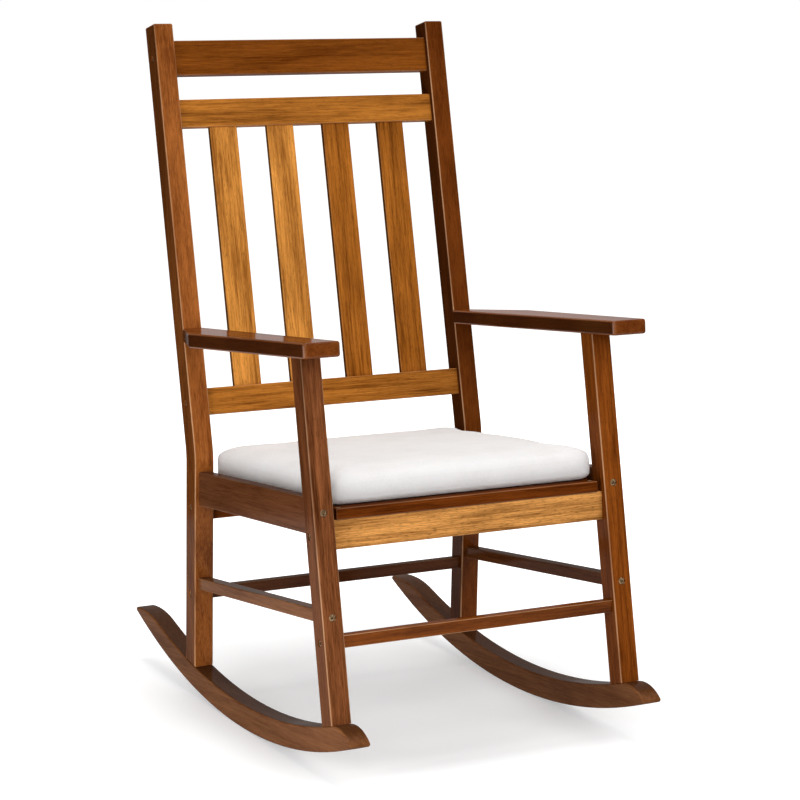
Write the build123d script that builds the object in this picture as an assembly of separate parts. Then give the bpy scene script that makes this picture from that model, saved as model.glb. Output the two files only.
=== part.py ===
from build123d import *
import os
from math import atan2, cos, radians, sin, tan

# Wooden rocking chair with a loose seat cushion, sizes in millimetres.
# It is drawn with a level seat, facing -Y, and at the end tipped back to the pose it rests in.
# Heights count from the lowest point of the rockers while the seat is level.
# One side is drawn at +X, the sitter's left, and mirrored for the other.

# Frame stock: posts, legs and rockers share one thickness across the chair
FRAME_HALF_WIDTH = 278.0
FRAME_STOCK = 35.0
FRAME_EDGE = 3.0
FRAME_INNER = FRAME_HALF_WIDTH - FRAME_STOCK
FRAME_MID = FRAME_HALF_WIDTH - FRAME_STOCK / 2

# Rockers: an underside arc, a flatter top arc and rolled ends, angles from the lowest point
ROCKER_CENTRE_Y = -155.0
ROCKER_RADIUS = 1210.0
ROCKER_TOP_RADIUS = 1250.0
ROCKER_DEPTH = 41.0
ROCKER_FRONT_ANGLE = 16.1
ROCKER_FRONT_ROLL = 12.4
ROCKER_REAR_ANGLE = 27.9
ROCKER_REAR_ROLL = 21.3
ROCKER_NOSE = 4.0
FOOT_GAP = 0.2
REST_TILT = 5.0
# Repeated steps that settle the height at which a leg meets its rocker
FOOT_PASSES = 20

# Rear posts, bent at seat height
POST_BEND_Y = 101.0
POST_BEND_Z = 444.0
POST_LEAN = 7.4
POST_RAKE = 7.4
POST_DEPTH = 41.0
POST_UPPER_LENGTH = 738.0
POST_BEND_RADIUS = 120.0

# Front legs, leaning back under the arms
LEG_TOP_Y = -348.0
LEG_LEAN = 5.7
LEG_DEPTH = 37.0

# Arms
ARM_TOP = 660.0
ARM_THICKNESS = 24.0
# Overhang past the legs' inner face, and past their outer face at the elbow and the front
ARM_INNER_LAP = 2.0
ARM_ELBOW_OUT = 45.0
ARM_ELBOW_Y = -26.0
ARM_FRONT_OUT = 26.0
ARM_FRONT_Y = -438.0
ARM_INNER = FRAME_INNER - ARM_INNER_LAP
ARM_CORNER = 8.0
ARM_EDGE = 4.0

# Back rails and slats: the lower rail is set up from the post's bend, the other two down from its top
BACK_RAIL_THICKNESS = 22.0
TOP_RAIL_WIDTH = 60.0
TOP_RAIL_DROP = 58.0
TOP_RAIL_AT = POST_UPPER_LENGTH - TOP_RAIL_DROP
UPPER_RAIL_WIDTH = 48.0
UPPER_RAIL_DROP = 154.0
UPPER_RAIL_AT = POST_UPPER_LENGTH - UPPER_RAIL_DROP
LOWER_RAIL_WIDTH = 46.0
LOWER_RAIL_AT = 89.0
BACK_SLATS = 4
BACK_SLAT_WIDTH = 51.0
BACK_SLAT_THICKNESS = 10.0
BACK_SLAT_TENON = 12.0
TENON_GAP = 0.2

# Seat frame, slats and cleats
SIDE_RAIL_TOP = 416.0
SIDE_RAIL_HEIGHT = 58.0
SIDE_RAIL_THICKNESS = 20.0
SIDE_RAIL_BOLT_DROP = 22.0
SIDE_RAIL_BOLT_Z = SIDE_RAIL_TOP - SIDE_RAIL_BOLT_DROP
END_RAIL_HEIGHT = 46.0
END_RAIL_THICKNESS = 20.0
FRONT_RAIL_FACE_Y = -381.5
REAR_RAIL_Z = 354.0
RAIL_EDGE = 2.0
SEAT_SLATS = 7
SEAT_SLAT_WIDTH = 50.0
SEAT_SLAT_THICKNESS = 18.0
SEAT_SLAT_END_GAP = 8.0
SEAT_SLAT_HALF_LENGTH = FRAME_INNER - SEAT_SLAT_END_GAP
SEAT_SLAT_BOTTOM = 380.0
SEAT_FRONT_Y = -383.0
SEAT_REAR_Y = 96.0
CLEAT_WIDTH = 30.0
CLEAT_HEIGHT = 20.0

# Stretchers
STRETCHER_HEIGHT = 20.0
STRETCHER_WIDTH = 22.0
FRONT_STRETCHER_Z = 194.0
REAR_STRETCHER_Z = 201.5
SIDE_STRETCHER_FRONT_Z = 233.0
SIDE_STRETCHER_REAR_Z = 221.0

# Connecting bolts with barrel nuts
BOLT_DIA = 6.0
BOLT_LENGTH = 60.0
ROCKER_BOLT_LENGTH = 76.0
BOLT_HOLE_GAP = 0.5
HEAD_DIA = 11.0
HEAD_HEIGHT = 5.0
HEAD_SINK = 2.0
HEAD_GAP = 1.0
ROCKER_HEAD_SINK = 6.0
SOCKET_ACROSS = 5.0
SOCKET_DEPTH = 3.0
NUT_DIA = 10.0
NUT_LENGTH = 12.0
NUT_FROM_TIP = 6.0
NUT_GAP = 0.2
NUT_BORE_GAP = 0.2

# Dowels and wood screws
DOWEL_DIA = 8.0
DOWEL_LENGTH = 40.0
ARM_DOWEL_LENGTH = 34.0
DOWEL_GAP = 0.2
SCREW_DIA = 4.0
SCREW_HEAD_DIA = 8.0
SLAT_SCREW_LENGTH = 32.0
CLEAT_SCREW_LENGTH = 42.0
SCREW_GAP = 0.2
SCREW_FROM_SLAT_END = 8.0

# Cushion, kept clear of the arms, set back from the front slat and a little over the rear one
CUSHION_SIDE_GAP = 1.5
CUSHION_FRONT_SETBACK = 7.0
CUSHION_REAR_OVERHANG = 10.0
CUSHION_HALF_WIDTH = ARM_INNER - CUSHION_SIDE_GAP
CUSHION_FRONT_Y = SEAT_FRONT_Y + CUSHION_FRONT_SETBACK
CUSHION_REAR_Y = SEAT_REAR_Y + CUSHION_REAR_OVERHANG
CUSHION_THICKNESS = 58.0
CUSHION_CORNER = 20.0
# Largest corner of a small section, as a share of half its width
CUSHION_CORNER_SHARE = 0.8
# Sections from foot to crown: share of the thickness, share of half the width drawn in
CUSHION_SECTIONS = (
    (0.00, 0.045),
    (0.10, 0.018),
    (0.24, 0.004),
    (0.45, 0.000),
    (0.68, 0.003),
    (0.81, 0.014),
    (0.90, 0.042),
    (0.95, 0.115),
    (0.98, 0.340),
    (1.00, 0.720),
)
CUSHION_LIFT = 0.4
COVER_THICKNESS = 1.5
CORE_GAP = 0.3


def post_centre_y(z):
    if z > POST_BEND_Z:
        return POST_BEND_Y + (z - POST_BEND_Z) * tan(radians(POST_LEAN))
    return POST_BEND_Y + (POST_BEND_Z - z) * tan(radians(POST_RAKE))


def post_face_y(z, side):
    """Front (side -1) or back (side +1) face of a post at a height away from the bend."""
    angle = POST_LEAN if z > POST_BEND_Z else POST_RAKE
    return post_centre_y(z) + side * POST_DEPTH / 2 / cos(radians(angle))


def leg_centre_y(z):
    return LEG_TOP_Y - (ARM_TOP - ARM_THICKNESS - z) * tan(radians(LEG_LEAN))


def leg_face_y(z, side):
    return leg_centre_y(z) + side * LEG_DEPTH / 2 / cos(radians(LEG_LEAN))


def side_plate(outline, x_from, x_to):
    """Solid between two planes of constant X from a closed outline in Y and Z."""
    return Pos(x_from, 0, 0) * extrude(Plane.YZ * make_face(outline), x_to - x_from)


def ease_faces(solid, axis, radius):
    """Round the edges of the two end faces of a solid along an axis."""
    ends = solid.faces().sort_by(axis)
    return fillet(ends[0].edges() + ends[-1].edges(), radius)


def ease_long_edges(solid, radius):
    return fillet(solid.edges().sort_by(SortBy.LENGTH)[-4:], radius)


def two_sides(solid):
    return solid, mirror(solid, about=Plane.YZ)


def less(solid, cutters):
    """Solid with every cutter taken away, kept as one plain solid."""
    for cutter in cutters:
        solid = solid - cutter
    return solid.solids().sort_by(SortBy.VOLUME)[-1]


# Frame that leans with the back
BACK_FRAME = Pos(0, POST_BEND_Y, POST_BEND_Z) * Rot(-POST_LEAN, 0, 0)


def rocker_underside(angle):
    """Point on the underside arc, by angle from its lowest point, rear positive."""
    turn = radians(angle)
    return ROCKER_CENTRE_Y + ROCKER_RADIUS * sin(turn), ROCKER_RADIUS * (1 - cos(turn))


def rocker_top(angle):
    """Point on the top arc, by angle from its lowest point, rear positive."""
    turn = radians(angle)
    rise = ROCKER_TOP_RADIUS * (1 - cos(turn))
    return ROCKER_CENTRE_Y + ROCKER_TOP_RADIUS * sin(turn), ROCKER_DEPTH + rise


def rocker_blank():
    front_tip = rocker_underside(-ROCKER_FRONT_ANGLE)
    rear_tip = rocker_underside(ROCKER_REAR_ANGLE)
    front_roll = rocker_top(-ROCKER_FRONT_ROLL)
    rear_roll = rocker_top(ROCKER_REAR_ROLL)
    front_rise = radians(ROCKER_FRONT_ROLL)
    rear_rise = radians(ROCKER_REAR_ROLL)
    outline = [
        ThreePointArc(front_tip, rocker_underside(0), rear_tip),
        TangentArc(rear_roll, rear_tip, tangent=(cos(rear_rise), sin(rear_rise))),
        ThreePointArc(front_roll, rocker_top(0), rear_roll),
        TangentArc(front_roll, front_tip, tangent=(-cos(front_rise), sin(front_rise))),
    ]
    plate = side_plate(outline, FRAME_INNER, FRAME_HALF_WIDTH)
    tips = plate.edges().filter_by(Axis.X).sort_by(Axis.Y)
    return ease_faces(fillet([tips[0], tips[-1]], ROCKER_NOSE), Axis.X, FRAME_EDGE)


def foot_point(line_y):
    """Where a line of a leg, given as y over z, meets the glue line on the rocker's top."""
    z = ROCKER_DEPTH
    for _ in range(FOOT_PASSES):
        run = line_y(z) - ROCKER_CENTRE_Y
        drop = ((ROCKER_TOP_RADIUS - FOOT_GAP) ** 2 - run**2) ** 0.5
        z = ROCKER_DEPTH + ROCKER_TOP_RADIUS - drop
    return line_y(z), z


def foot_points(centre_y, face_y):
    """Front, middle and rear points of a foot that is cut to the rocker's curve."""
    front = foot_point(lambda z: face_y(z, -1))
    rear = foot_point(lambda z: face_y(z, 1))
    return front, foot_point(centre_y), rear


POST_FOOT = foot_points(post_centre_y, post_face_y)
LEG_FOOT = foot_points(leg_centre_y, leg_face_y)


def rear_post_blank():
    """Bent post with its foot cut to the rocker's top."""
    lean = radians(POST_LEAN)
    rake = radians(POST_RAKE)
    half = POST_DEPTH / 2
    mitre = half / cos((lean + rake) / 2)
    skew = (lean - rake) / 2
    top_y = POST_BEND_Y + POST_UPPER_LENGTH * sin(lean)
    top_z = POST_BEND_Z + POST_UPPER_LENGTH * cos(lean)
    front_foot, middle_foot, rear_foot = POST_FOOT
    upper = FilletPolyline(
        rear_foot,
        (POST_BEND_Y + mitre * cos(skew), POST_BEND_Z - mitre * sin(skew)),
        (top_y + half * cos(lean), top_z - half * sin(lean)),
        (top_y - half * cos(lean), top_z + half * sin(lean)),
        (POST_BEND_Y - mitre * cos(skew), POST_BEND_Z + mitre * sin(skew)),
        front_foot,
        radius=[POST_BEND_RADIUS, FRAME_EDGE, FRAME_EDGE, POST_BEND_RADIUS],
    )
    foot = ThreePointArc(front_foot, middle_foot, rear_foot)
    return side_plate([foot, upper], FRAME_INNER, FRAME_HALF_WIDTH)


def front_leg_blank():
    """Straight leg, cut level under the arm and to the rocker's top at the foot."""
    top = ARM_TOP - ARM_THICKNESS
    front_foot, middle_foot, rear_foot = LEG_FOOT
    upper = Polyline(rear_foot, (leg_face_y(top, 1), top), (leg_face_y(top, -1), top), front_foot)
    foot = ThreePointArc(front_foot, middle_foot, rear_foot)
    return side_plate([foot, upper], FRAME_INNER, FRAME_HALF_WIDTH)


def arm_blank():
    """Arm board, wide at the elbow, its rear end cut to the leaning front face of the post."""
    bottom = ARM_TOP - ARM_THICKNESS
    post_y = post_face_y(ARM_TOP, -1)
    rear_y = post_y + POST_DEPTH / 2
    # The outer edge runs from the elbow to the post's outer front corner, and on to the uncut end
    taper = ARM_ELBOW_OUT / (post_y - ARM_ELBOW_Y)
    outline = FilletPolyline(
        (ARM_INNER, ARM_FRONT_Y),
        (FRAME_HALF_WIDTH + ARM_FRONT_OUT, ARM_FRONT_Y),
        (FRAME_HALF_WIDTH + ARM_ELBOW_OUT, ARM_ELBOW_Y),
        (FRAME_HALF_WIDTH - taper * (rear_y - post_y), rear_y),
        (ARM_INNER, rear_y),
        radius=[ARM_CORNER, ARM_CORNER, 2 * ARM_CORNER, 0, 0],
        close=True,
    )
    board = Pos(0, 0, bottom) * extrude(make_face(outline), ARM_THICKNESS)
    board = ease_faces(board, Axis.Z, ARM_EDGE)
    behind = Polyline(
        (post_face_y(bottom - ARM_THICKNESS, -1), bottom - ARM_THICKNESS),
        (post_face_y(ARM_TOP + ARM_THICKNESS, -1), ARM_TOP + ARM_THICKNESS),
        (rear_y + POST_DEPTH, ARM_TOP + ARM_THICKNESS),
        (rear_y + POST_DEPTH, bottom - ARM_THICKNESS),
        close=True,
    )
    return board - side_plate(behind, ARM_INNER - ARM_THICKNESS, FRAME_HALF_WIDTH + ARM_THICKNESS)


def cross_rail(frame, thickness, height):
    """Rail from post to post, lying along X and centred on a frame."""
    section = RectangleRounded(thickness, height, RAIL_EDGE)
    bar = extrude(Plane.YZ * section, FRAME_INNER, both=True)
    return frame * bar


def side_rail_blank():
    bottom = SIDE_RAIL_TOP - SIDE_RAIL_HEIGHT
    outline = Polyline(
        (leg_face_y(bottom, 1), bottom),
        (post_face_y(bottom, -1), bottom),
        (post_face_y(SIDE_RAIL_TOP, -1), SIDE_RAIL_TOP),
        (leg_face_y(SIDE_RAIL_TOP, 1), SIDE_RAIL_TOP),
        close=True,
    )
    half = SIDE_RAIL_THICKNESS / 2
    return ease_long_edges(side_plate(outline, FRAME_MID - half, FRAME_MID + half), RAIL_EDGE)


# Slope and ends of the side stretchers' centre line
STRETCHER_FRONT_Y = leg_face_y(SIDE_STRETCHER_FRONT_Z, 1)
STRETCHER_REAR_Y = post_face_y(SIDE_STRETCHER_REAR_Z, -1)
STRETCHER_FALL = SIDE_STRETCHER_FRONT_Z - SIDE_STRETCHER_REAR_Z
STRETCHER_SLOPE = atan2(STRETCHER_FALL, STRETCHER_REAR_Y - STRETCHER_FRONT_Y)


def side_stretcher_blank():
    half_height = STRETCHER_HEIGHT / 2
    half = STRETCHER_WIDTH / 2
    front_top = SIDE_STRETCHER_FRONT_Z + half_height
    front_bottom = SIDE_STRETCHER_FRONT_Z - half_height
    rear_top = SIDE_STRETCHER_REAR_Z + half_height
    rear_bottom = SIDE_STRETCHER_REAR_Z - half_height
    outline = Polyline(
        (leg_face_y(front_bottom, 1), front_bottom),
        (post_face_y(rear_bottom, -1), rear_bottom),
        (post_face_y(rear_top, -1), rear_top),
        (leg_face_y(front_top, 1), front_top),
        close=True,
    )
    return ease_long_edges(side_plate(outline, FRAME_MID - half, FRAME_MID + half), RAIL_EDGE)


def cleat_blank():
    outer = FRAME_MID - SIDE_RAIL_THICKNESS / 2
    top = SEAT_SLAT_BOTTOM
    front_y = leg_face_y(top, 1) + RAIL_EDGE
    rear_y = post_face_y(top, -1) - RAIL_EDGE
    bar = Box(CLEAT_WIDTH, rear_y - front_y, CLEAT_HEIGHT, align=(Align.MAX, Align.MIN, Align.MAX))
    return Pos(outer, front_y, top) * bar


SEAT_SLAT_PITCH = (SEAT_REAR_Y - SEAT_FRONT_Y - SEAT_SLAT_WIDTH) / (SEAT_SLATS - 1)


def seat_slat_blank(index):
    y = SEAT_FRONT_Y + SEAT_SLAT_WIDTH / 2 + index * SEAT_SLAT_PITCH
    z = SEAT_SLAT_BOTTOM + SEAT_SLAT_THICKNESS / 2
    section = RectangleRounded(SEAT_SLAT_WIDTH, SEAT_SLAT_THICKNESS, RAIL_EDGE)
    bar = extrude(Plane.YZ * section, SEAT_SLAT_HALF_LENGTH, both=True)
    return Pos(0, y, z) * ease_faces(bar, Axis.X, RAIL_EDGE / 2)


# Clear height between the rails that hold the back slats, and the slats' spacing
SLAT_FOOT = LOWER_RAIL_AT + LOWER_RAIL_WIDTH / 2
SLAT_HEAD = UPPER_RAIL_AT - UPPER_RAIL_WIDTH / 2
BACK_SLAT_GAP = (2 * FRAME_INNER - BACK_SLATS * BACK_SLAT_WIDTH) / (BACK_SLATS + 1)


def back_slat(index, gap=0.0):
    """Back slat with both ends let into the rails; a gap makes the mortise cutter."""
    x = -FRAME_INNER + (index + 1) * BACK_SLAT_GAP + (index + 0.5) * BACK_SLAT_WIDTH
    width = BACK_SLAT_WIDTH + 2 * gap
    thickness = BACK_SLAT_THICKNESS + 2 * gap
    section = RectangleRounded(width, thickness, RAIL_EDGE)
    length = SLAT_HEAD - SLAT_FOOT + 2 * (BACK_SLAT_TENON + gap)
    bar = extrude(section, length)
    return BACK_FRAME * Pos(x, 0, SLAT_FOOT - BACK_SLAT_TENON - gap) * bar


def bolt(length, sink):
    """Socket head bolt along -Z whose head lies sunk below the face at the origin."""
    deep = (Align.CENTER, Align.CENTER, Align.MAX)
    head = Pos(0, 0, -sink) * Cylinder(HEAD_DIA / 2, HEAD_HEIGHT, align=deep)
    shank = Pos(0, 0, -sink - HEAD_HEIGHT) * Cylinder(BOLT_DIA / 2, length, align=deep)
    hexagon = RegularPolygon(SOCKET_ACROSS / 2, 6, major_radius=False)
    socket = Pos(0, 0, -sink) * extrude(hexagon, -SOCKET_DEPTH)
    return head + shank - socket


def nut_depth(length, sink):
    return sink + HEAD_HEIGHT + length - NUT_FROM_TIP


def barrel_nut(length, sink):
    """Cross cylinder along X with a bore for the bolt."""
    body = Rot(0, 90, 0) * Cylinder(NUT_DIA / 2, NUT_LENGTH)
    bore = Cylinder((BOLT_DIA + NUT_BORE_GAP) / 2, 2 * NUT_DIA)
    return Pos(0, 0, -nut_depth(length, sink)) * (body - bore)


def bolt_cutter(length, sink, reach):
    """Counterbore, bolt hole and the hole that lets the nut in from the +X face at a reach."""
    deep = (Align.CENTER, Align.CENTER, Align.MAX)
    over = sink + HEAD_HEIGHT
    counterbore = Pos(0, 0, over) * Cylinder((HEAD_DIA + HEAD_GAP) / 2, 2 * over, align=deep)
    hole = Cylinder((BOLT_DIA + BOLT_HOLE_GAP) / 2, over + length + NUT_FROM_TIP, align=deep)
    entry = Rot(0, 90, 0) * Cylinder(
        (NUT_DIA + NUT_GAP) / 2,
        reach + NUT_LENGTH / 2,
        align=(Align.CENTER, Align.CENTER, Align.MIN),
    )
    entry = Pos(-NUT_LENGTH / 2, 0, -nut_depth(length, sink)) * entry
    return counterbore + hole + entry


def aim(origin, outward, nut_side):
    """Frame of a bolt: Z points out of the wood at the head, X to where the nut goes in."""
    return Plane(origin=origin, x_dir=nut_side, z_dir=outward).location


def cross_aim(y, z, lean=0.0):
    """Bolt along X through a post or leg into a cross rail, nut let in from behind."""
    back = (0, cos(radians(lean)), -sin(radians(lean)))
    return aim((FRAME_HALF_WIDTH, y, z), (1, 0, 0), back)


def back_point(height):
    return POST_BEND_Y + height * sin(radians(POST_LEAN)), POST_BEND_Z + height * cos(radians(POST_LEAN))


# Bolt places on the +X side, one for each pair of pieces
TOP_RAIL_BOLT = cross_aim(*back_point(TOP_RAIL_AT), POST_LEAN)
LOWER_RAIL_BOLT = cross_aim(*back_point(LOWER_RAIL_AT), POST_LEAN)
REAR_RAIL_BOLT = cross_aim(post_centre_y(REAR_RAIL_Z), REAR_RAIL_Z)
REAR_STRETCHER_BOLT = cross_aim(post_centre_y(REAR_STRETCHER_Z), REAR_STRETCHER_Z)
FRONT_RAIL_Z = SEAT_SLAT_BOTTOM - END_RAIL_HEIGHT / 2
FRONT_RAIL_Y = FRONT_RAIL_FACE_Y + END_RAIL_THICKNESS / 2
FRONT_RAIL_BOLT = cross_aim(FRONT_RAIL_Y, FRONT_RAIL_Z)
FRONT_STRETCHER_BOLT = cross_aim(leg_centre_y(FRONT_STRETCHER_Z), FRONT_STRETCHER_Z)

INWARD = (-1, 0, 0)
DOWNWARD = (0, 0, -1)
SIDE_RAIL_FRONT_BOLT = aim(
    (FRAME_MID, leg_face_y(SIDE_RAIL_BOLT_Z, -1), SIDE_RAIL_BOLT_Z), (0, -1, 0), INWARD
)
SIDE_RAIL_REAR_BOLT = aim(
    (FRAME_MID, post_face_y(SIDE_RAIL_BOLT_Z, 1), SIDE_RAIL_BOLT_Z), (0, 1, 0), INWARD
)
ARM_MID_Z = ARM_TOP - ARM_THICKNESS / 2
ARM_BOLT = aim((FRAME_MID, post_face_y(ARM_MID_Z, 1), ARM_MID_Z), (0, 1, 0), DOWNWARD)


def stretcher_aim(y, z, direction):
    """Bolt along the sloping side stretcher, out of the front leg (-1) or the post (+1)."""
    run = y - (STRETCHER_FRONT_Y if direction < 0 else STRETCHER_REAR_Y)
    outward = (0, direction * cos(STRETCHER_SLOPE), -direction * sin(STRETCHER_SLOPE))
    below = (0, -sin(STRETCHER_SLOPE), -cos(STRETCHER_SLOPE))
    return aim((FRAME_MID, y, z - run * tan(STRETCHER_SLOPE)), outward, below)


STRETCHER_FRONT_BOLT = stretcher_aim(
    leg_face_y(SIDE_STRETCHER_FRONT_Z, -1), SIDE_STRETCHER_FRONT_Z, -1
)
STRETCHER_REAR_BOLT = stretcher_aim(
    post_face_y(SIDE_STRETCHER_REAR_Z, 1), SIDE_STRETCHER_REAR_Z, 1
)


def rocker_aim(foot, lean):
    """Bolt up through the rocker along the axis of a leg, nut let in from behind."""
    up = (0, sin(radians(lean)), cos(radians(lean)))
    down = (0, -up[1], -up[2])
    back = (0, up[2], -up[1])
    y, z = foot[1]
    return aim((FRAME_MID, y + ROCKER_DEPTH * down[1], z + ROCKER_DEPTH * down[2]), down, back)


POST_ROCKER_BOLT = rocker_aim(POST_FOOT, -POST_RAKE)
LEG_ROCKER_BOLT = rocker_aim(LEG_FOOT, LEG_LEAN)


def frame_cut(place, reach):
    return place * bolt_cutter(BOLT_LENGTH, HEAD_SINK, reach)


def rocker_cut(place, reach):
    return place * bolt_cutter(ROCKER_BOLT_LENGTH, ROCKER_HEAD_SINK, reach)


TOP_RAIL_CUT = frame_cut(TOP_RAIL_BOLT, BACK_RAIL_THICKNESS / 2)
LOWER_RAIL_CUT = frame_cut(LOWER_RAIL_BOLT, BACK_RAIL_THICKNESS / 2)
REAR_RAIL_CUT = frame_cut(REAR_RAIL_BOLT, END_RAIL_THICKNESS / 2)
FRONT_RAIL_CUT = frame_cut(FRONT_RAIL_BOLT, END_RAIL_THICKNESS / 2)
REAR_STRETCHER_CUT = frame_cut(REAR_STRETCHER_BOLT, STRETCHER_WIDTH / 2)
FRONT_STRETCHER_CUT = frame_cut(FRONT_STRETCHER_BOLT, STRETCHER_WIDTH / 2)
SIDE_RAIL_FRONT_CUT = frame_cut(SIDE_RAIL_FRONT_BOLT, SIDE_RAIL_THICKNESS / 2)
SIDE_RAIL_REAR_CUT = frame_cut(SIDE_RAIL_REAR_BOLT, SIDE_RAIL_THICKNESS / 2)
STRETCHER_FRONT_CUT = frame_cut(STRETCHER_FRONT_BOLT, STRETCHER_HEIGHT / 2)
STRETCHER_REAR_CUT = frame_cut(STRETCHER_REAR_BOLT, STRETCHER_HEIGHT / 2)
ARM_CUT = frame_cut(ARM_BOLT, ARM_THICKNESS / 2)
POST_ROCKER_CUT = rocker_cut(POST_ROCKER_BOLT, POST_DEPTH / 2)
LEG_ROCKER_CUT = rocker_cut(LEG_ROCKER_BOLT, LEG_DEPTH / 2)


def rail_dowels(gap=0.0):
    """Pairs of dowels at the +X ends of the three back rails; a gap makes their holes."""
    rows = []
    for height, width in (
        (TOP_RAIL_AT, TOP_RAIL_WIDTH),
        (UPPER_RAIL_AT, UPPER_RAIL_WIDTH),
        (LOWER_RAIL_AT, LOWER_RAIL_WIDTH),
    ):
        pin = Rot(0, 90, 0) * Cylinder((DOWEL_DIA + gap) / 2, DOWEL_LENGTH + gap)
        for offset in (-width / 3, width / 3):
            rows.append(BACK_FRAME * Pos(FRAME_INNER, 0, height + offset) * pin)
    return rows


def arm_dowel(gap=0.0):
    pin = Cylinder((DOWEL_DIA + gap) / 2, ARM_DOWEL_LENGTH + gap)
    return Pos(FRAME_MID, LEG_TOP_Y, ARM_TOP - ARM_THICKNESS) * pin


def screw(length, gap=0.0):
    """Countersunk screw along -Z with its head flush at the origin; a gap makes its hole."""
    deep = (Align.CENTER, Align.CENTER, Align.MAX)
    cone = SCREW_HEAD_DIA / 2 - SCREW_DIA / 2
    head = Cone(SCREW_DIA / 2 + gap / 2, SCREW_HEAD_DIA / 2 + gap / 2, cone, align=deep)
    return head + Cylinder((SCREW_DIA + gap) / 2, length + gap, align=deep)


def slat_screw_place(index):
    """Screw of one seat slat: the front slat into the front rail, the others into a cleat."""
    x = SEAT_SLAT_HALF_LENGTH - SCREW_FROM_SLAT_END
    y = SEAT_FRONT_Y + SEAT_SLAT_WIDTH / 2 + index * SEAT_SLAT_PITCH
    if index == 0:
        y = FRONT_RAIL_Y
    return Pos(x, y, SEAT_SLAT_BOTTOM + SEAT_SLAT_THICKNESS)


def cleat_screw_place(index):
    """Screw through a cleat into its side rail, between two seat slats."""
    x = FRAME_MID - SIDE_RAIL_THICKNESS / 2 - CLEAT_WIDTH
    half_space = (SEAT_SLAT_PITCH - SEAT_SLAT_WIDTH) / 2
    y = SEAT_FRONT_Y + SEAT_SLAT_WIDTH + half_space + index * SEAT_SLAT_PITCH
    return Pos(x, y, SEAT_SLAT_BOTTOM - CLEAT_HEIGHT / 2) * Rot(0, -90, 0)


# Spaces between seat slats that have a cleat screw, every other one
CLEAT_SCREWS = range(1, SEAT_SLATS - 1, 2)
SLAT_SCREW_CUTS = [
    slat_screw_place(i) * screw(SLAT_SCREW_LENGTH, SCREW_GAP) for i in range(SEAT_SLATS)
]
CLEAT_SCREW_CUTS = [
    cleat_screw_place(i) * screw(CLEAT_SCREW_LENGTH, SCREW_GAP) for i in CLEAT_SCREWS
]


def cushion_body(inset):
    """Pillow shape through rounded rectangles: drawn-in foot, full waist and a low crown."""
    centre_y = (CUSHION_FRONT_Y + CUSHION_REAR_Y) / 2
    half_depth = (CUSHION_REAR_Y - CUSHION_FRONT_Y) / 2
    base = SEAT_SLAT_BOTTOM + SEAT_SLAT_THICKNESS + CUSHION_LIFT
    height = CUSHION_THICKNESS - 2 * inset
    sections = []
    for rise, draw in CUSHION_SECTIONS:
        half_x = CUSHION_HALF_WIDTH * (1 - draw) - inset
        half_y = half_depth - CUSHION_HALF_WIDTH * draw - inset
        corner = min(CUSHION_CORNER, CUSHION_CORNER_SHARE * half_x, CUSHION_CORNER_SHARE * half_y)
        outline = RectangleRounded(2 * half_x, 2 * half_y, corner)
        sections.append(Pos(0, centre_y, base + inset + rise * height) * outline)
    return loft(sections, ruled=True)


# Wooden pieces with their joints cut
post_dowel_holes = rail_dowels(DOWEL_GAP)
rear_post = less(
    ease_faces(rear_post_blank(), Axis.X, FRAME_EDGE),
    [
        TOP_RAIL_CUT,
        LOWER_RAIL_CUT,
        REAR_RAIL_CUT,
        REAR_STRETCHER_CUT,
        SIDE_RAIL_REAR_CUT,
        STRETCHER_REAR_CUT,
        ARM_CUT,
        POST_ROCKER_CUT,
        *post_dowel_holes,
    ],
)
front_leg = less(
    ease_long_edges(front_leg_blank(), FRAME_EDGE),
    [
        FRONT_RAIL_CUT,
        FRONT_STRETCHER_CUT,
        SIDE_RAIL_FRONT_CUT,
        STRETCHER_FRONT_CUT,
        LEG_ROCKER_CUT,
        arm_dowel(DOWEL_GAP),
    ],
)
rocker = less(rocker_blank(), [POST_ROCKER_CUT, LEG_ROCKER_CUT])
arm = less(arm_blank(), [ARM_CUT, arm_dowel(DOWEL_GAP)])
side_rail = less(side_rail_blank(), [SIDE_RAIL_FRONT_CUT, SIDE_RAIL_REAR_CUT, *CLEAT_SCREW_CUTS])
side_stretcher = less(side_stretcher_blank(), [STRETCHER_FRONT_CUT, STRETCHER_REAR_CUT])
cleat = less(cleat_blank(), [*SLAT_SCREW_CUTS, *CLEAT_SCREW_CUTS])


def spanning(solid, cutters):
    """Piece across the chair with the cutters of one side and their mirrors taken away."""
    both = []
    for cutter in cutters:
        both.extend(two_sides(cutter))
    return less(solid, both)


def back_rail(height, width, cutters):
    return spanning(cross_rail(BACK_FRAME * Pos(0, 0, height), BACK_RAIL_THICKNESS, width), cutters)


slat_mortises = [back_slat(i, TENON_GAP) for i in range(BACK_SLATS)]
top_rail = back_rail(TOP_RAIL_AT, TOP_RAIL_WIDTH, [TOP_RAIL_CUT, *post_dowel_holes])
upper_back_rail = less(back_rail(UPPER_RAIL_AT, UPPER_RAIL_WIDTH, post_dowel_holes), slat_mortises)
lower_back_rail = less(
    back_rail(LOWER_RAIL_AT, LOWER_RAIL_WIDTH, [LOWER_RAIL_CUT, *post_dowel_holes]), slat_mortises
)
front_rail = spanning(
    cross_rail(Pos(0, FRONT_RAIL_Y, FRONT_RAIL_Z), END_RAIL_THICKNESS, END_RAIL_HEIGHT),
    [FRONT_RAIL_CUT, SLAT_SCREW_CUTS[0]],
)
rear_rail = spanning(
    cross_rail(Pos(0, post_centre_y(REAR_RAIL_Z), REAR_RAIL_Z), END_RAIL_THICKNESS, END_RAIL_HEIGHT),
    [REAR_RAIL_CUT],
)
front_stretcher = spanning(
    cross_rail(
        Pos(0, leg_centre_y(FRONT_STRETCHER_Z), FRONT_STRETCHER_Z), STRETCHER_WIDTH, STRETCHER_HEIGHT
    ),
    [FRONT_STRETCHER_CUT],
)
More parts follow.
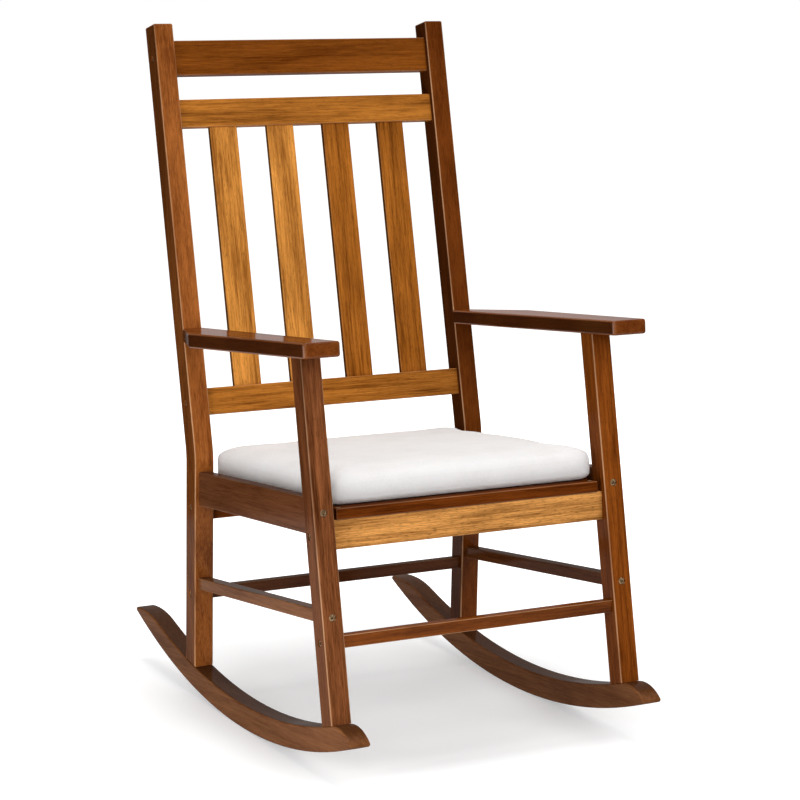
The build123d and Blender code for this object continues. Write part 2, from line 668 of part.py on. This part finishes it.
rear_stretcher = spanning(
    cross_rail(
        Pos(0, post_centre_y(REAR_STRETCHER_Z), REAR_STRETCHER_Z), STRETCHER_WIDTH, STRETCHER_HEIGHT
    ),
    [REAR_STRETCHER_CUT],
)

# Cushion cover around its foam core
cushion_cover = cushion_body(0.0) - cushion_body(COVER_THICKNESS)
cushion_core = cushion_body(COVER_THICKNESS + CORE_GAP)

# Fasteners of the +X side
frame_places = (
    TOP_RAIL_BOLT,
    LOWER_RAIL_BOLT,
    REAR_RAIL_BOLT,
    REAR_STRETCHER_BOLT,
    FRONT_RAIL_BOLT,
    FRONT_STRETCHER_BOLT,
    SIDE_RAIL_FRONT_BOLT,
    SIDE_RAIL_REAR_BOLT,
    STRETCHER_FRONT_BOLT,
    STRETCHER_REAR_BOLT,
    ARM_BOLT,
)
rocker_places = (POST_ROCKER_BOLT, LEG_ROCKER_BOLT)
frame_bolts = [place * bolt(BOLT_LENGTH, HEAD_SINK) for place in frame_places]
frame_nuts = [place * barrel_nut(BOLT_LENGTH, HEAD_SINK) for place in frame_places]
rocker_bolts = [place * bolt(ROCKER_BOLT_LENGTH, ROCKER_HEAD_SINK) for place in rocker_places]
rocker_nuts = [place * barrel_nut(ROCKER_BOLT_LENGTH, ROCKER_HEAD_SINK) for place in rocker_places]
slat_screws = [slat_screw_place(i) * screw(SLAT_SCREW_LENGTH) for i in range(SEAT_SLATS)]
cleat_screws = [cleat_screw_place(i) * screw(CLEAT_SCREW_LENGTH) for i in CLEAT_SCREWS]


def group(solids):
    """Fasteners of both sides as one compound of separate solids."""
    both = []
    for solid in solids:
        both.extend(two_sides(solid))
    return Compound([piece for solid in both for piece in solid.solids()])


nodes = {
    "top_rail": top_rail,
    "upper_back_rail": upper_back_rail,
    "lower_back_rail": lower_back_rail,
    "front_seat_rail": front_rail,
    "rear_seat_rail": rear_rail,
    "front_stretcher": front_stretcher,
    "rear_stretcher": rear_stretcher,
    "cushion_cover": cushion_cover,
    "cushion_core": cushion_core,
    "frame_bolts": group(frame_bolts),
    "rocker_bolts": group(rocker_bolts),
    "barrel_nuts": group(frame_nuts + rocker_nuts),
    "rail_dowels": group(rail_dowels()),
    "arm_dowels": group([arm_dowel()]),
    "slat_screws": group(slat_screws),
    "cleat_screws": group(cleat_screws),
}
for name, solid in (
    ("rear_post", rear_post),
    ("front_leg", front_leg),
    ("rocker", rocker),
    ("arm", arm),
    ("side_seat_rail", side_rail),
    ("side_stretcher", side_stretcher),
    ("seat_cleat", cleat),
):
    nodes[name + "_left"], nodes[name + "_right"] = two_sides(solid)
for i in range(SEAT_SLATS):
    slat_cuts = two_sides(SLAT_SCREW_CUTS[i])
    nodes[f"seat_slat_{i + 1}"] = less(seat_slat_blank(i), slat_cuts)
for i in range(BACK_SLATS):
    nodes[f"back_slat_{i + 1}"] = back_slat(i)

# Tip the chair back onto its rockers and put the origin on the floor under its middle
tipped = {name: Rot(-REST_TILT, 0, 0) * shape for name, shape in nodes.items()}
extent = Compound(list(tipped.values())).bounding_box()
on_floor = Pos(-extent.center().X, -extent.center().Y, -extent.min.Z)

os.makedirs("parts", exist_ok=True)
for name, shape in tipped.items():
    export_step(on_floor * shape, f"parts/{name}.step")
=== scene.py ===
from collections import namedtuple
from math import cos, radians, sin

import bpy
from mathutils import Matrix, Vector, noise


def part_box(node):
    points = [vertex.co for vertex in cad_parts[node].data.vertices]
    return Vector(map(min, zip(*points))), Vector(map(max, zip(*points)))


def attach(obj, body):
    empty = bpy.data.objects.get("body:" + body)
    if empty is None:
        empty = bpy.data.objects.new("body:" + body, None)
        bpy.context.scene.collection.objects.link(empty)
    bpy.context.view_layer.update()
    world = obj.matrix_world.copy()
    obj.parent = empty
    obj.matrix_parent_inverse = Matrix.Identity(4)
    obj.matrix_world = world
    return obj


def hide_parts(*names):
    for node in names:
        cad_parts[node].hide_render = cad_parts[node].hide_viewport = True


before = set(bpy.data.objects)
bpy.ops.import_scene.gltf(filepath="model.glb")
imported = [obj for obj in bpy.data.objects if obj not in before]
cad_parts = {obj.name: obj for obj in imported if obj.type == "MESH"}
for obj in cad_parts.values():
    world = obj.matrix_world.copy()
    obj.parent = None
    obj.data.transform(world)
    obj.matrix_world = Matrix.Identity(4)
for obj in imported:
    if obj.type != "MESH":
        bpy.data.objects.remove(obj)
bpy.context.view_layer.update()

# Angles of the chair at rest, in degrees from level or upright
REST_TILT = 5.0
BACK_LEAN = 12.4
POST_LEAN = 8.0
LEG_LEAN = 10.7


def held(value, least, most):
    """Value kept between two limits."""
    return max(least, min(most, value))


# Shader helpers
def srgb(red, green, blue):
    """Linear colour with alpha from screen values of 0 to 255."""
    linear = []
    for value in (red, green, blue):
        share = value / 255
        linear.append(share / 12.92 if share <= 0.04045 else ((share + 0.055) / 1.055) ** 2.4)
    return (*linear, 1.0)


def add(tree, kind, values=None, links=None, **settings):
    """New shader node with settings, socket values and incoming links."""
    node = tree.nodes.new(kind)
    for name, value in settings.items():
        setattr(node, name, value)
    for name, value in (values or {}).items():
        node.inputs[name].default_value = value
    for name, socket in (links or {}).items():
        tree.links.new(socket, node.inputs[name])
    return node


def calc(tree, operation, first, second):
    """Result of a math node; each operand is a socket or a number."""
    node = tree.nodes.new("ShaderNodeMath")
    node.operation = operation
    for slot, operand in enumerate((first, second)):
        if isinstance(operand, float):
            node.inputs[slot].default_value = operand
        else:
            tree.links.new(operand, node.inputs[slot])
    return node.outputs[0]


def weighted(tree, parts):
    """Sum of sockets times their weights."""
    total = None
    for socket, weight in parts:
        term = calc(tree, "MULTIPLY", socket, weight)
        total = term if total is None else calc(tree, "ADD", total, term)
    return total


def ranged(tree, value, low, high, to_low, to_high):
    """Value mapped from one range to another and held inside it."""
    limits = {"From Min": low, "From Max": high, "To Min": to_low, "To Max": to_high}
    return add(tree, "ShaderNodeMapRange", limits, {"Value": value}).outputs["Result"]


def blend_colour(tree, share, first, second):
    """Colour socket mixed towards a plain colour by a share socket."""
    node = tree.nodes.new("ShaderNodeMix")
    node.data_type = "RGBA"
    # Sockets by number, because each name stands there once for every type of data
    factor, start, end = node.inputs[0], node.inputs[6], node.inputs[7]
    tree.links.new(share, factor)
    tree.links.new(first, start)
    end.default_value = second
    return node.outputs[2]


def ramp(tree, value, stops):
    """Colour ramp over a value from a list of (position, colour)."""
    node = add(tree, "ShaderNodeValToRGB", None, {"Fac": value})
    elements = node.color_ramp.elements
    while len(elements) < len(stops):
        # A new stop starts in the middle and is moved below
        elements.new(0.5)
    for element, (position, colour) in zip(elements, stops):
        element.position = position
        element.color = colour
    return node.outputs["Color"]


def noise_texture(tree, coords, values):
    """Value of a noise texture."""
    return add(tree, "ShaderNodeTexNoise", values, {"Vector": coords}).outputs[0]


def new_material(name):
    """Empty node material and its tree."""
    material = bpy.data.materials.new(name)
    material.use_nodes = True
    material.node_tree.nodes.clear()
    return material, material.node_tree


# Strength of a bump and its depth in metres
Bump = namedtuple("Bump", "strength depth")


def surface(tree, height, bump, values, links):
    """Principled surface with a bump, wired to the output."""
    relief = add(
        tree, "ShaderNodeBump", {"Strength": bump.strength, "Distance": bump.depth}, {"Height": height}
    )
    shader = add(tree, "ShaderNodeBsdfPrincipled", values, {**links, "Normal": relief.outputs["Normal"]})
    add(tree, "ShaderNodeOutputMaterial", None, {"Surface": shader.outputs["BSDF"]})


def dress(node, material):
    """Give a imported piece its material."""
    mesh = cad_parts[node].data
    mesh.materials.clear()
    mesh.materials.append(material)


# How a piece lies: the turn that lays a texture's Z axis along its grain, and the axis its side faces
# point along, which take painted shade
Lay = namedtuple("Lay", "turn side_axis")


def leaning(degrees):
    """Upright piece that leans back."""
    return Lay(tuple(Matrix.Rotation(radians(-degrees), 3, "X").to_euler()), (1.0, 0.0, 0.0))


def across(degrees):
    """Piece from side to side whose front face leans back."""
    lean = radians(degrees)
    turn = Matrix.Rotation(-lean, 3, "X") @ Matrix.Rotation(radians(90.0), 3, "Y")
    return Lay(tuple(turn.to_euler()), (0.0, -cos(lean), sin(lean)))


def fore_aft(degrees):
    """Piece from front to back that is tipped back."""
    return Lay(tuple(Matrix.Rotation(radians(-90.0 - degrees), 3, "X").to_euler()), (1.0, 0.0, 0.0))


ON_BACK = leaning(BACK_LEAN)
ON_POST = leaning(POST_LEAN)
ON_LEG = leaning(LEG_LEAN)
ON_BACK_RAIL = across(BACK_LEAN)
ON_SEAT_RAIL = across(REST_TILT)
ON_SIDE = fore_aft(REST_TILT)
# The painted side shade of a rocker goes on its top and bottom
ON_ROCKER = ON_SIDE._replace(side_axis=(0.0, 0.0, 1.0))

# Stained wood: colour, contrast of the grain, strength of its dark pores, weight of the gloss coat,
# share of the pale edge colour, partly scuffing and partly a painted highlight, and of the painted shade
# on its side faces
Stain = namedtuple("Stain", "colour contrast pores coat wear sides")
STAINS = {
    "arm": Stain(srgb(115, 59, 22), 0.35, 0.20, 0.30, 0.08, 0.80),
    # post_left and post_right are a shaded and a lit copy of one stain: painted light, lighter on the
    # sitter's right
    "post_left": Stain(srgb(104, 51, 14), 0.40, 0.25, 0.10, 0.55, 0.58),
    "post_right": Stain(srgb(145, 82, 35), 0.45, 0.25, 0.12, 0.55, 0.50),
    "leg_left": Stain(srgb(126, 64, 18), 0.55, 0.30, 0.10, 0.50, 0.25),
    "leg_right": Stain(srgb(124, 72, 40), 0.62, 0.30, 0.10, 0.50, 0.46),
    "top_rail": Stain(srgb(118, 62, 15), 0.45, 0.25, 0.10, 0.20, 0.0),
    "back_rail": Stain(srgb(158, 96, 34), 0.55, 0.30, 0.10, 0.20, 0.0),
    # The two slat stains are a lit and a shaded copy of one stain: painted light
    "slat_painted_lit": Stain(srgb(196, 128, 55), 0.50, 0.35, 0.10, 0.10, 0.75),
    "slat_painted_shade": Stain(srgb(153, 89, 28), 0.58, 0.35, 0.10, 0.10, 0.75),
    "front_rail": Stain(srgb(197, 135, 70), 0.65, 0.50, 0.10, 0.20, 0.0),
    "seat": Stain(srgb(102, 48, 12), 0.55, 0.25, 0.10, 0.25, 0.0),
    "side": Stain(srgb(95, 55, 31), 0.35, 0.20, 0.16, 0.16, 0.0),
    "brown": Stain(srgb(118, 73, 41), 0.35, 0.20, 0.16, 0.16, 0.0),
    "rocker": Stain(srgb(118, 73, 41), 0.35, 0.20, 0.12, 0.0, 0.65),
    "umber": Stain(srgb(89, 48, 23), 0.35, 0.20, 0.10, 0.16, 0.0),
    "bare": Stain(srgb(196, 152, 100), 0.30, 0.30, 0.0, 0.0, 0.0),
}

# Grain as noise: its size across and along the piece in metres, its detail and its distortion
Grain = namedtuple("Grain", "width length detail distortion")
STREAK = Grain(0.0052, 0.26, 4.0, 0.7)
FIBRE = Grain(0.0015, 0.038, 2.0, 0.3)
MOTTLE = Grain(0.034, 0.260, 3.0, 0.6)
PORE = Grain(0.0012, 0.010, 1.0, 0.0)
# Share of each kind of grain in the tone, and the tones that are deep, plain and pale
STREAK_SHARE = 0.30
FIBRE_SHARE = 0.30
MOTTLE_SHARE = 0.40
TONE_STOPS = (0.38, 0.50, 0.62)
# Tint of the deep and the pale parts of the grain
DEEP_TINT = (1.0, 0.84, 0.64)
PALE_TINT = (1.0, 1.05, 1.10)
# Dark colour of the pores, also used for the painted shade on side faces
PORE_AND_SHADE_COLOUR = srgb(44, 20, 8)
# Pale colour of scuffed edges, also a painted highlight along them
WORN_HIGHLIGHT_COLOUR = srgb(228, 180, 136)
# Turn of the surface, as the product of two squared cosines, over which an edge is rubbed paler and
# given a painted highlight
RUBBED_HIGHLIGHT_FROM = 0.04
RUBBED_HIGHLIGHT_TO = 0.20
# Squared cosine over which a face becomes a side and takes painted shade
SIDE_FROM = 0.60
SIDE_TO = 0.92
# Ranges of a value and of what it is mapped to
PORE_DEPTH = (0.56, 0.70, 0.0, 1.0)
WORN_HIGHLIGHT_PATCHES = (0.35, 0.60, 0.3, 1.0)
WOOD_ROUGHNESS = (0.38, 0.62, 0.40, 0.28)
LACQUER_ROUGHNESS = 0.12
FIBRE_RELIEF = 0.5
WOOD_BUMP = Bump(0.25, 0.0003)


def shade(stain, step, tint):
    """Colour of a stain made lighter or deeper by a share of its contrast."""
    factor = 1.0 + step * stain.contrast
    return (*(part * factor * share for part, share in zip(stain.colour, tint)), 1.0)


def grown(tree, grain, coords, lay, offset):
    """Noise laid along the grain of a piece."""
    place = add(
        tree,
        "ShaderNodeMapping",
        {"Location": offset, "Rotation": lay.turn, "Scale": (grain.width, grain.width, grain.length)},
        {"Vector": coords},
        vector_type="TEXTURE",
    )
    values = {"Scale": 1.0, "Detail": grain.detail, "Distortion": grain.distortion}
    return noise_texture(tree, place.outputs["Vector"], values)


def wood(name, stain, lay, offset):
    """Lacquered wood: streaks, fibre, mottled stain, short dark pores, edges scuffed paler with a
    painted highlight, and painted shade on its side faces.
    """
    material, tree = new_material(name)
    coords = add(tree, "ShaderNodeTexCoord").outputs
    kinds = (STREAK, FIBRE, MOTTLE, PORE)
    streak, fibre, mottle, pore = (grown(tree, kind, coords["Object"], lay, offset) for kind in kinds)

    tone = weighted(tree, ((streak, STREAK_SHARE), (fibre, FIBRE_SHARE), (mottle, MOTTLE_SHARE)))
    shades = shade(stain, -1.0, DEEP_TINT), stain.colour, shade(stain, 1.0, PALE_TINT)
    colour = ramp(tree, tone, list(zip(TONE_STOPS, shades)))
    pits = ranged(tree, pore, *PORE_DEPTH)
    colour = blend_colour(tree, calc(tree, "MULTIPLY", pits, stain.pores), colour, PORE_AND_SHADE_COLOUR)

    facing = add(
        tree, "ShaderNodeVectorMath", {1: lay.side_axis}, {0: coords["Normal"]}, operation="DOT_PRODUCT"
    ).outputs["Value"]
    squared = calc(tree, "MULTIPLY", facing, facing)
    edge = calc(tree, "MULTIPLY", squared, calc(tree, "SUBTRACT", 1.0, squared))
    # Pale edges: scuffed stain, and also a painted highlight along them
    rubbed_highlight = ranged(tree, edge, RUBBED_HIGHLIGHT_FROM, RUBBED_HIGHLIGHT_TO, 0.0, stain.wear)
    worn_highlight = calc(tree, "MULTIPLY", rubbed_highlight, ranged(tree, mottle, *WORN_HIGHLIGHT_PATCHES))
    colour = blend_colour(tree, worn_highlight, colour, WORN_HIGHLIGHT_COLOUR)
    # Painted shade: side faces darkened towards the dark pore colour
    side_shade_share = ranged(tree, squared, SIDE_FROM, SIDE_TO, 0.0, stain.sides)
    colour = blend_colour(tree, side_shade_share, colour, PORE_AND_SHADE_COLOUR)

    height = calc(tree, "SUBTRACT", calc(tree, "MULTIPLY", fibre, FIBRE_RELIEF), pits)
    surface(
        tree,
        height,
        WOOD_BUMP,
        {"Specular IOR Level": 0.0, "Coat Weight": stain.coat, "Coat Roughness": LACQUER_ROUGHNESS},
        {"Base Color": colour, "Roughness": ranged(tree, tone, *WOOD_ROUGHNESS)},
    )
    return material


# Wooden pieces with their stain and lay
PIECES = [
    ("rear_post_left", "post_left", ON_POST),
    ("rear_post_right", "post_right", ON_POST),
    ("front_leg_left", "leg_left", ON_LEG),
    ("front_leg_right", "leg_right", ON_LEG),
    ("front_stretcher", "leg_left", ON_SEAT_RAIL),
    ("rear_stretcher", "umber", ON_SEAT_RAIL),
    ("rear_seat_rail", "seat", ON_SEAT_RAIL),
    ("front_seat_rail", "front_rail", ON_SEAT_RAIL),
    ("top_rail", "top_rail", ON_BACK_RAIL),
    ("upper_back_rail", "back_rail", ON_BACK_RAIL),
    ("lower_back_rail", "back_rail", ON_BACK_RAIL),
    ("rail_dowels", "bare", ON_BACK_RAIL),
    ("arm_dowels", "bare", ON_LEG),
]
for side in ("left", "right"):
    PIECES += [
        (f"arm_{side}", "arm", ON_SIDE),
        (f"rocker_{side}", "rocker", ON_ROCKER),
        (f"side_seat_rail_{side}", "side", ON_SIDE),
        (f"seat_cleat_{side}", "umber", ON_SIDE),
    ]
PIECES += [("side_stretcher_left", "umber", ON_SIDE), ("side_stretcher_right", "brown", ON_SIDE)]
PIECES += [(name, "seat", ON_SEAT_RAIL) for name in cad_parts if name.startswith("seat_slat_")]
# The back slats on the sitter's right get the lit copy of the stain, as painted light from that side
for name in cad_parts:
    if name.startswith("back_slat_"):
        right_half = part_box(name)[1][0] < 0.0
        PIECES.append((name, "slat_painted_lit" if right_half else "slat_painted_shade", ON_BACK))
# Step between the parts of the log that neighbouring pieces are cut from
LOG_STEP = Vector((0.37, 0.53, 0.71))

for index, (node, stain, lay) in enumerate(PIECES):
    dress(node, wood(f"wood_{node}", STAINS[stain], lay, LOG_STEP * (index + 1)))


# Plated steel of the bolts, nuts and screws
PLATING_COLOUR = srgb(186, 156, 118)
TARNISH_COLOUR = srgb(112, 86, 58)
TARNISH_STOPS = (0.35, 0.62)
SPOTS = {"Scale": 320.0, "Detail": 3.0}
SCRATCHES = {"Scale": 1500.0, "Detail": 1.0}
PLATING_METALLIC = 0.75
PLATING_ROUGHNESS = (0.3, 0.7, 0.55, 0.30)
PLATING_BUMP = Bump(0.2, 0.0001)


def plated_steel(name):
    """Yellow plating with tarnished spots and fine scratches."""
    material, tree = new_material(name)
    coords = add(tree, "ShaderNodeTexCoord").outputs["Object"]
    spots = noise_texture(tree, coords, SPOTS)
    scratches = noise_texture(tree, coords, SCRATCHES)
    surface(
        tree,
        scratches,
        PLATING_BUMP,
        {"Metallic": PLATING_METALLIC},
        {
            "Base Color": ramp(tree, spots, list(zip(TARNISH_STOPS, (TARNISH_COLOUR, PLATING_COLOUR)))),
            "Roughness": ranged(tree, spots, *PLATING_ROUGHNESS),
        },
    )
    return material


steel = plated_steel("yellow_plated_steel")
for node in ("frame_bolts", "rocker_bolts", "barrel_nuts", "slat_screws", "cleat_screws"):
    dress(node, steel)


# Linen-look cover of the cushion
THREAD_COLOUR = srgb(243, 239, 237)
# Darker colour of the weave's hollows: painted shade
HOLLOW_SHADE_COLOUR = srgb(234, 230, 227)
LINEN_STOPS = (0.36, 0.60)
WEAVE_PITCH = 0.0017
# Bands of a wave texture repeat every 2 pi / 20 units at scale 1
BAND_LENGTH = 0.314159
THREAD_WAVE = {"Scale": BAND_LENGTH / WEAVE_PITCH, "Distortion": 4.0, "Detail": 2.0, "Detail Scale": 2.0}
SLUB = {"Scale": 300.0, "Detail": 3.0}
BROAD = {"Scale": 14.0, "Detail": 3.0}
# Shares of the threads of one direction and of their thick places in the weave
THREAD_SHARE = 0.14
SLUB_SHARE = 0.58
# Shares of the weave, which paints shade into its hollows, and of broad patches in the colour
WEAVE_SHARE = 0.5
BROAD_SHARE = 0.5
LINEN_ROUGHNESS = (0.3, 0.7, 0.85, 0.98)
LINEN_BUMP = Bump(0.25, 0.0004)
LINEN_FINISH = {
    "Sheen Weight": 0.2,
    "Sheen Roughness": 0.5,
    "Specular IOR Level": 0.15,
    "Subsurface Weight": 1.0,
    "Subsurface Radius": (1.0, 0.95, 0.9),
    "Subsurface Scale": 0.10,
}


def linen(name):
    """Plain weave of uneven threads, painted a little brighter where they stand up and darker in the
    hollows: painted light and shade.
    """
    material, tree = new_material(name)
    coords = add(tree, "ShaderNodeTexCoord").outputs["Object"]
    slub = noise_texture(tree, coords, SLUB)
    broad = noise_texture(tree, coords, BROAD)
    parts = [(slub, SLUB_SHARE)]
    for direction in "XYZ":
        wave = add(tree, "ShaderNodeTexWave", THREAD_WAVE, {"Vector": coords}, bands_direction=direction)
        parts.append((wave.outputs["Fac"], THREAD_SHARE))
    weave = weighted(tree, parts)
    shading = weighted(tree, ((weave, WEAVE_SHARE), (broad, BROAD_SHARE)))
    surface(
        tree,
        weave,
        LINEN_BUMP,
        LINEN_FINISH,
        {
            "Base Color": ramp(tree, shading, list(zip(LINEN_STOPS, (HOLLOW_SHADE_COLOUR, THREAD_COLOUR)))),
            "Roughness": ranged(tree, slub, *LINEN_ROUGHNESS),
        },
    )
    return material


# Cushion, blown up from its foam core
TO_LEVEL = Matrix.Rotation(radians(REST_TILT), 4, "X")
SPREAD = Matrix.Diagonal((1.008, 1.008, 1.0, 1.0))
VOXEL = 0.006
PIN_HEIGHT = 0.008
PRESSURE = 4.0
SWELL_FRAMES = 20
SWELL_LIMIT = 0.005
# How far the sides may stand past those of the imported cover
SIDE_LIMIT = 0.001
# Faint dimples, which fade in between these shares of the height
DIMPLE = 0.0012
DIMPLE_SIZE = 0.09
DIMPLE_FROM = 0.25
DIMPLE_FULL = 0.75
# Lower rim, which curves up off the seat
RIM = 0.016
RIM_LIFT = 0.007


def evaluated(piece):
    """Piece with its modifiers worked out."""
    return piece.evaluated_get(bpy.context.evaluated_depsgraph_get())


def remeshed(piece):
    """Mesh of a piece rebuilt from small even faces."""
    remesh = piece.modifiers.new("remesh", "REMESH")
    remesh.mode = "VOXEL"
    remesh.voxel_size = VOXEL
    mesh = bpy.data.meshes.new_from_object(evaluated(piece))
    piece.modifiers.clear()
    return mesh


def swell(piece):
    """Cloth simulation with inner pressure and a held underside, applied to the mesh."""
    scene = bpy.context.scene
    vertices = piece.data.vertices
    underside = min(v.co.z for v in vertices)
    pinned = piece.vertex_groups.new(name="underside")
    pinned.add([v.index for v in vertices if v.co.z < underside + PIN_HEIGHT], 1.0, "REPLACE")
    cloth = piece.modifiers.new("cloth", "CLOTH")
    cloth.settings.use_pressure = True
    cloth.settings.uniform_pressure_force = PRESSURE
    cloth.settings.vertex_group_mass = pinned.name
    cloth.settings.effector_weights.gravity = 0.0
    for number in range(1, SWELL_FRAMES + 1):
        scene.frame_set(number)
    moved = [v.co.copy() for v in evaluated(piece).data.vertices]
    piece.modifiers.remove(cloth)
    piece.vertex_groups.clear()
    scene.frame_set(1)
    for vertex, target in zip(vertices, moved):
        step = target - vertex.co
        if step.length > SWELL_LIMIT:
            step.length = SWELL_LIMIT
        vertex.co += step


def box_in_seat(node):
    """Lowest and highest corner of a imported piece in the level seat's frame."""
    points = [TO_LEVEL @ v.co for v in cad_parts[node].data.vertices]
    corners = zip(*((min(values), max(values)) for values in zip(*points)))
    return [Vector(corner) for corner in corners]


def settle(mesh, low, high):
    """Dimple the top of a cushion, keep it inside its box and curve its lower rim up."""
    for vertex in mesh.vertices:
        rise = (vertex.co.z - low.z) / (high.z - low.z)
        fade = held((rise - DIMPLE_FROM) / (DIMPLE_FULL - DIMPLE_FROM), 0.0, 1.0)
        dimple = noise.noise(vertex.co / DIMPLE_SIZE) * DIMPLE
        vertex.co.z = max(low.z, vertex.co.z + dimple * fade)
        inset = RIM
        for axis in (0, 1):
            least, most = low[axis] - SIDE_LIMIT, high[axis] + SIDE_LIMIT
            vertex.co[axis] = held(vertex.co[axis], least, most)
            inset = min(inset, vertex.co[axis] - least, most - vertex.co[axis])
        near_base = max(0.0, 1.0 - (vertex.co.z - low.z) / RIM)
        vertex.co.z += RIM_LIFT * near_base * (1.0 - inset / RIM)


def make_cushion():
    """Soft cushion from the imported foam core, shaped in the level seat's frame."""
    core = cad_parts["cushion_core"].data.copy()
    core.materials.clear()
    core.transform(SPREAD @ TO_LEVEL)
    piece = bpy.data.objects.new("seat_cushion", core)
    bpy.context.scene.collection.objects.link(piece)
    piece.data = remeshed(piece)
    swell(piece)
    settle(piece.data, *box_in_seat("cushion_cover"))
    piece.data.transform(TO_LEVEL.inverted())
    for polygon in piece.data.polygons:
        polygon.use_smooth = True
    smooth = piece.modifiers.new("smooth", "SUBSURF")
    smooth.levels = 1
    smooth.render_levels = 1
    piece.data.materials.append(linen("linen"))
    return piece


cushion = make_cushion()
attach(cushion, "cushion")
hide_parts("cushion_cover", "cushion_core")


# White studio: a floor that keeps the shadow and a white world behind the chair
WHITE = (1.0, 1.0, 1.0, 1.0)
FLOOR_SIZE = 60.0
FLOOR_COLOUR = (0.65, 0.65, 0.65, 1.0)
FLOOR_GLOW = 0.42
# Distances from the chair between which the floor fades to plain white
FADE_FROM = 0.30
FADE_TO = 0.85
AMBIENT = 0.18
# Dark drapes that only the lacquer reflects: ends as angles from +X in degrees, and distance
DRAPES = ((97, 165, 1.5), (240, 395, 3.2))
DRAPE_FOOT = 0.05
DRAPE_HEAD = 4.5
DRAPE_COLOUR = (0.01, 0.01, 0.01, 1.0)
DRAPE_STEP = 6
# Soft square lamps: place, target, size, power, and whether the lacquer reflects them
Lamp = namedtuple("Lamp", "place target size power reflected")
LAMPS = {
    "front": Lamp((0.8, -3.0, 2.3), (0.0, 0.0, 0.6), 2.6, 70.0, False),
    "top": Lamp((-0.1, 0.3, 3.8), (0.0, 0.0, 0.4), 1.4, 55.0, True),
    "low_fill": Lamp((-1.3, -0.5, 0.35), (0.0, 0.0, 0.3), 0.6, 8.0, True),
    "glint": Lamp((-1.7, -3.2, 1.9), (0.0, 0.0, 0.6), 0.5, 16.0, True),
    "back_fill": Lamp((2.2, 2.4, 1.5), (0.0, 0.0, 0.6), 2.0, 34.0, False),
}
# Camera at the photo's place, with its angles in degrees
CAMERA_PLACE = (-1.8567, -3.7098, 1.2323)
CAMERA_TILT = 80.327
CAMERA_TURN = -27.005
CAMERA_LENS = 112.39
SENSOR_WIDTH = 36.0


def seen_directly(tree):
    """One where the camera sees the surface, also in a reflection or through glass."""
    path = add(tree, "ShaderNodeLightPath")
    seen = calc(tree, "MAXIMUM", path.outputs["Is Camera Ray"], path.outputs["Is Glossy Ray"])
    return calc(tree, "MAXIMUM", seen, path.outputs["Is Transmission Ray"])


def stage_piece(name, points, faces, material):
    """Mesh of the studio, which is not part of the chair."""
    mesh = bpy.data.meshes.new(name)
    mesh.from_pydata(points, [], faces)
    mesh.materials.append(material)
    piece = bpy.data.objects.new(name, mesh)
    bpy.context.scene.collection.objects.link(piece)
    return piece


def make_floor():
    """Matt floor that glows a little where the camera sees it, more away from the chair."""
    material, tree = new_material("studio_floor")
    matt = add(tree, "ShaderNodeBsdfDiffuse", {"Color": FLOOR_COLOUR}).outputs[0]
    coords = add(tree, "ShaderNodeTexCoord").outputs["Object"]
    distance = add(tree, "ShaderNodeVectorMath", None, {0: coords}, operation="LENGTH").outputs["Value"]
    strength = ranged(tree, distance, FADE_FROM, FADE_TO, FLOOR_GLOW, 1.0)
    glow = add(tree, "ShaderNodeEmission", None, {"Strength": strength}).outputs[0]
    lit = add(tree, "ShaderNodeAddShader", None, {0: matt, 1: glow}).outputs[0]
    chosen = add(tree, "ShaderNodeMixShader", None, {0: seen_directly(tree), 1: matt, 2: lit})
    add(tree, "ShaderNodeOutputMaterial", None, {"Surface": chosen.outputs[0]})
    half = FLOOR_SIZE / 2
    corners = [(-half, -half, 0), (half, -half, 0), (half, half, 0), (-half, half, 0)]
    stage_piece("floor", corners, [(0, 1, 2, 3)], material)


def make_drape(name, start, end, radius):
    """Upright dark sheet along an arc, seen in reflections alone."""
    material, tree = new_material(name)
    cloth = add(tree, "ShaderNodeBsdfDiffuse", {"Color": DRAPE_COLOUR})
    add(tree, "ShaderNodeOutputMaterial", None, {"Surface": cloth.outputs[0]})
    points = []
    for angle in range(start, end + 1, DRAPE_STEP):
        x, y = radius * cos(radians(angle)), radius * sin(radians(angle))
        points += [(x, y, DRAPE_FOOT), (x, y, DRAPE_HEAD)]
    faces = [(i, i + 2, i + 3, i + 1) for i in range(0, len(points) - 2, 2)]
    drape = stage_piece(name, points, faces, material)
    drape.visible_camera = False
    drape.visible_diffuse = False
    drape.visible_transmission = False
    drape.visible_shadow = False


def make_world():
    """World that is white to the camera and lights the chair only a little."""
    world = bpy.data.worlds.new("studio")
    bpy.context.scene.world = world
    world.use_nodes = True
    tree = world.node_tree
    tree.nodes.clear()
    strength = ranged(tree, seen_directly(tree), 0.0, 1.0, AMBIENT, 1.0)
    light = add(tree, "ShaderNodeBackground", {"Color": WHITE}, {"Strength": strength})
    add(tree, "ShaderNodeOutputWorld", None, {"Surface": light.outputs[0]})


def make_lamp(name, lamp):
    """Square soft light that the camera doesn't see."""
    data = bpy.data.lights.new(name, "AREA")
    data.shape = "SQUARE"
    data.size = lamp.size
    data.energy = lamp.power
    light = bpy.data.objects.new(name, data)
    bpy.context.scene.collection.objects.link(light)
    light.location = lamp.place
    aim = Vector(lamp.target) - Vector(lamp.place)
    light.rotation_euler = aim.to_track_quat("-Z", "Y").to_euler()
    light.visible_camera = False
    light.visible_glossy = lamp.reflected


def make_camera():
    """Camera of the scene."""
    data = bpy.data.cameras.new("camera")
    data.sensor_width = SENSOR_WIDTH
    data.lens = CAMERA_LENS
    camera = bpy.data.objects.new("camera", data)
    bpy.context.scene.collection.objects.link(camera)
    camera.location = CAMERA_PLACE
    camera.rotation_euler = (radians(CAMERA_TILT), 0.0, radians(CAMERA_TURN))
    bpy.context.scene.camera = camera


make_floor()
for number, drape in enumerate(DRAPES, 1):
    make_drape(f"drape_{number}", *drape)
make_world()
for name, lamp in LAMPS.items():
    make_lamp(name, lamp)
make_camera()
bpy.context.scene.view_settings.view_transform = "Standard"
